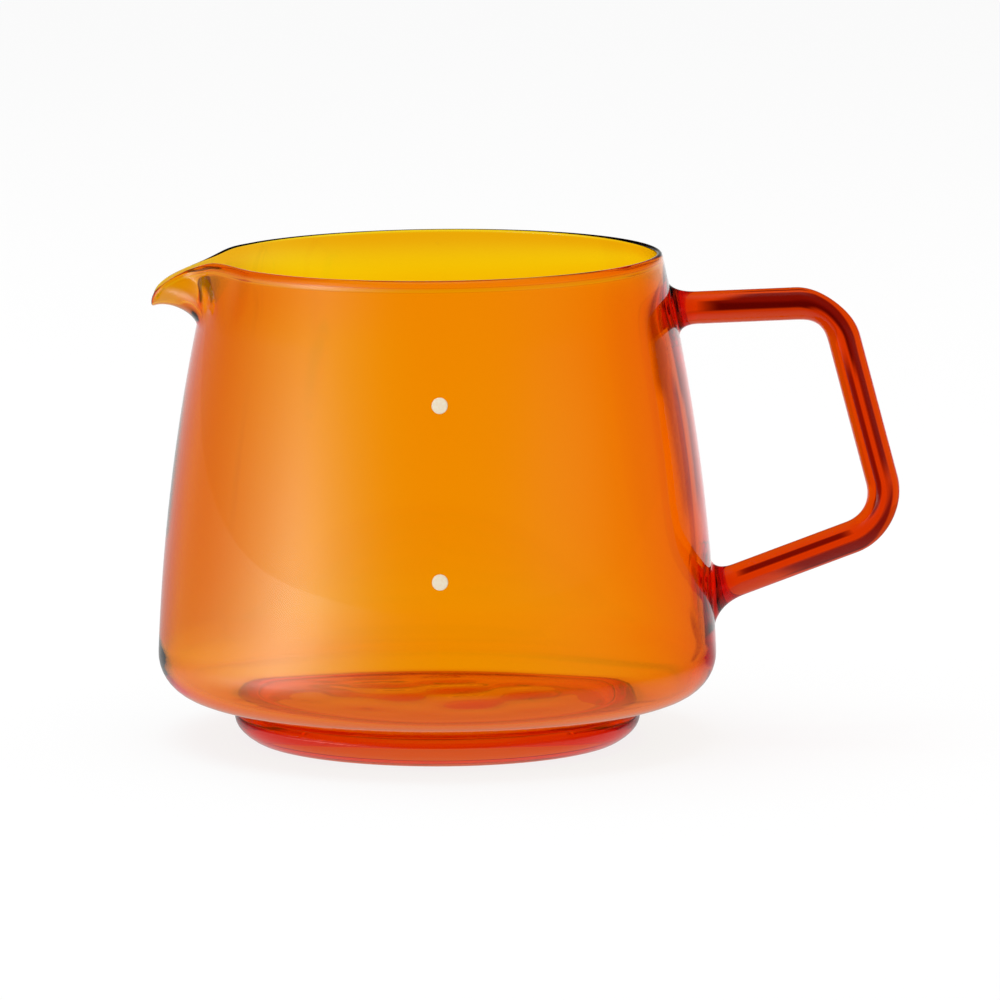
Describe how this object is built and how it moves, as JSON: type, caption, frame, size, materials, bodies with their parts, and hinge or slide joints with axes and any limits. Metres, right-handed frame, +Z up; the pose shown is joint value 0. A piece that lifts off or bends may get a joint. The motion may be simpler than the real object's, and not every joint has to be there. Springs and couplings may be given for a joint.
{
  "type": "glass carafe",
  "caption": "Low amber glass carafe with tapering walls, a drawn pouring spout, a stepped foot, enamel level marks and an angular glass rod handle fused to its side.",
  "frame": {"origin": "middle of the circle that the foot ring stands on", "axes": "+Z up, out of the mouth; +X towards the handle, so the spout points along -X; -Y towards the front with the level marks"},
  "size_m": [0.1514, 0.1132, 0.0987],
  "materials": {
    "amber_glass": "clear amber, polished",
    "rod_glass": "clear amber, deeper in the thick rod",
    "mark_enamel": "fired cream enamel"
  },
  "bodies": {
    "root": {"vessel": "amber_glass", "handle": "rod_glass", "upper_handle_seal": "rod_glass", "lower_handle_seal": "rod_glass", "upper_level_mark": "mark_enamel", "lower_level_mark": "mark_enamel"}
  },
  "joints": []
}
